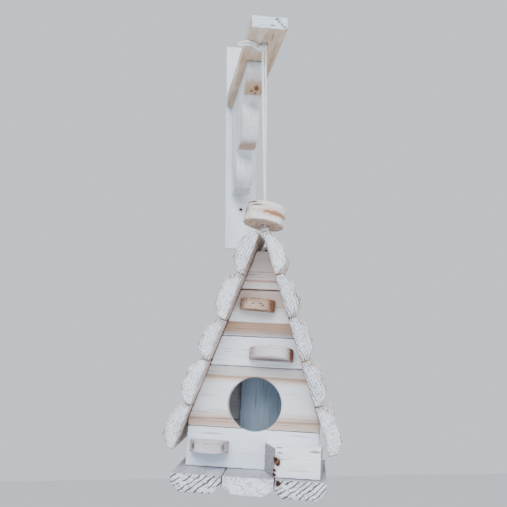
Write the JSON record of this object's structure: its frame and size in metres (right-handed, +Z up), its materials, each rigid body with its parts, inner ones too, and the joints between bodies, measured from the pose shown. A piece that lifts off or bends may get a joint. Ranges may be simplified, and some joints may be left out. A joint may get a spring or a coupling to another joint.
{
  "type": "hanging birdhouse with wall bracket",
  "caption": "Rustic whitewashed A-frame birdhouse with plank roof, round entrance and half-round shelves, hung by a doubled cord from a scalloped wooden wall bracket.",
  "frame": {"origin": "midway between the two wall screw holes, on the back face of the back plate", "axes": "+Y into the wall, +Z up, the front faces -Y"},
  "size_m": [0.2158, 0.2749, 0.6516],
  "materials": {
    "whitewashed_wood": "thin brushed whitewash over sawn pine",
    "sawn_whitewash": "whitewashed rough pine planks with dark end grain",
    "bare_wood": "bare reclaimed pine, dry and worn",
    "grey_wood": "blue-grey stained pine",
    "cotton_cord": "twisted cotton cord",
    "steel_fasteners": "zinc plated, dull"
  },
  "bodies": {
    "bracket": {"back_plate": "whitewashed_wood", "arm": "bare_wood", "brace": "whitewashed_wood", "plate_screws": "steel_fasteners", "brace_screws": "steel_fasteners", "arm_top_knot": "cotton_cord", "arm_cord": "cotton_cord", "arm_knot": "cotton_cord", "cord_loop": "cotton_cord"},
    "neck": {"cord_neck": "cotton_cord"},
    "cord": {"cord_strand_1": "cotton_cord", "cord_strand_2": "cotton_cord", "disc_knot": "cotton_cord"},
    "disc": {"disc": "bare_wood"},
    "ridge_link": {"ridge_cord": "cotton_cord"},
    "house": {"ridge_knot": "cotton_cord", "base_plank_left": "sawn_whitewash", "base_plank_middle": "sawn_whitewash", "base_plank_right": "sawn_whitewash", "side_board_left": "bare_wood", "side_board_right": "bare_wood", "inner_batten": "grey_wood", "roof_plank_left_1": "sawn_whitewash", "roof_plank_left_2": "sawn_whitewash", "roof_plank_left_3": "sawn_whitewash", "roof_plank_left_4": "sawn_whitewash", "roof_plank_left_5": "sawn_whitewash", "roof_plank_right_1": "sawn_whitewash", "roof_plank_right_2": "sawn_whitewash", "roof_plank_right_3": "sawn_whitewash", "roof_plank_right_4": "sawn_whitewash", "roof_plank_right_5": "sawn_whitewash", "front_board_1": "whitewashed_wood", "front_board_2": "whitewashed_wood", "front_board_3": "whitewashed_wood", "front_board_4": "whitewashed_wood", "front_board_5": "whitewashed_wood", "back_board_1": "bare_wood", "back_board_2": "bare_wood", "back_board_3": "bare_wood", "back_board_4": "bare_wood", "back_board_5": "bare_wood", "upper_shelf": "bare_wood", "middle_shelf": "whitewashed_wood", "lower_shelf": "whitewashed_wood", "porch_block": "whitewashed_wood", "roof_nails_left": "steel_fasteners", "roof_nails_right": "steel_fasteners", "base_nails": "steel_fasteners", "batten_nails": "steel_fasteners", "shelf_screws": "steel_fasteners"}
  },
  "joints": [
    {"name": "swing_side", "type": "hinge", "parent": "bracket", "child": "neck", "pos_m": [0, -0.209, 0.0505], "axis": [0, 1, 0], "range_deg": [-30, 30]},
    {"name": "swing_fore", "type": "hinge", "parent": "neck", "child": "cord", "pos_m": [0, -0.209, 0.0505], "axis": [1, 0, 0], "range_deg": [-30, 9]},
    {"name": "disc_slide", "type": "slide", "parent": "cord", "child": "disc", "axis": [0, 0, 1], "range_m": [0, 0.15]},
    {"name": "house_twist", "type": "hinge", "parent": "cord", "child": "ridge_link", "pos_m": [0, -0.209, -0.1876], "axis": [0, 0, 1], "range_deg": [-180, 180]},
    {"name": "house_nod", "type": "hinge", "parent": "ridge_link", "child": "house", "pos_m": [0, -0.209, -0.1876], "axis": [0.9694, -0.2453, 0], "range_deg": [-14, 8]}
  ]
}
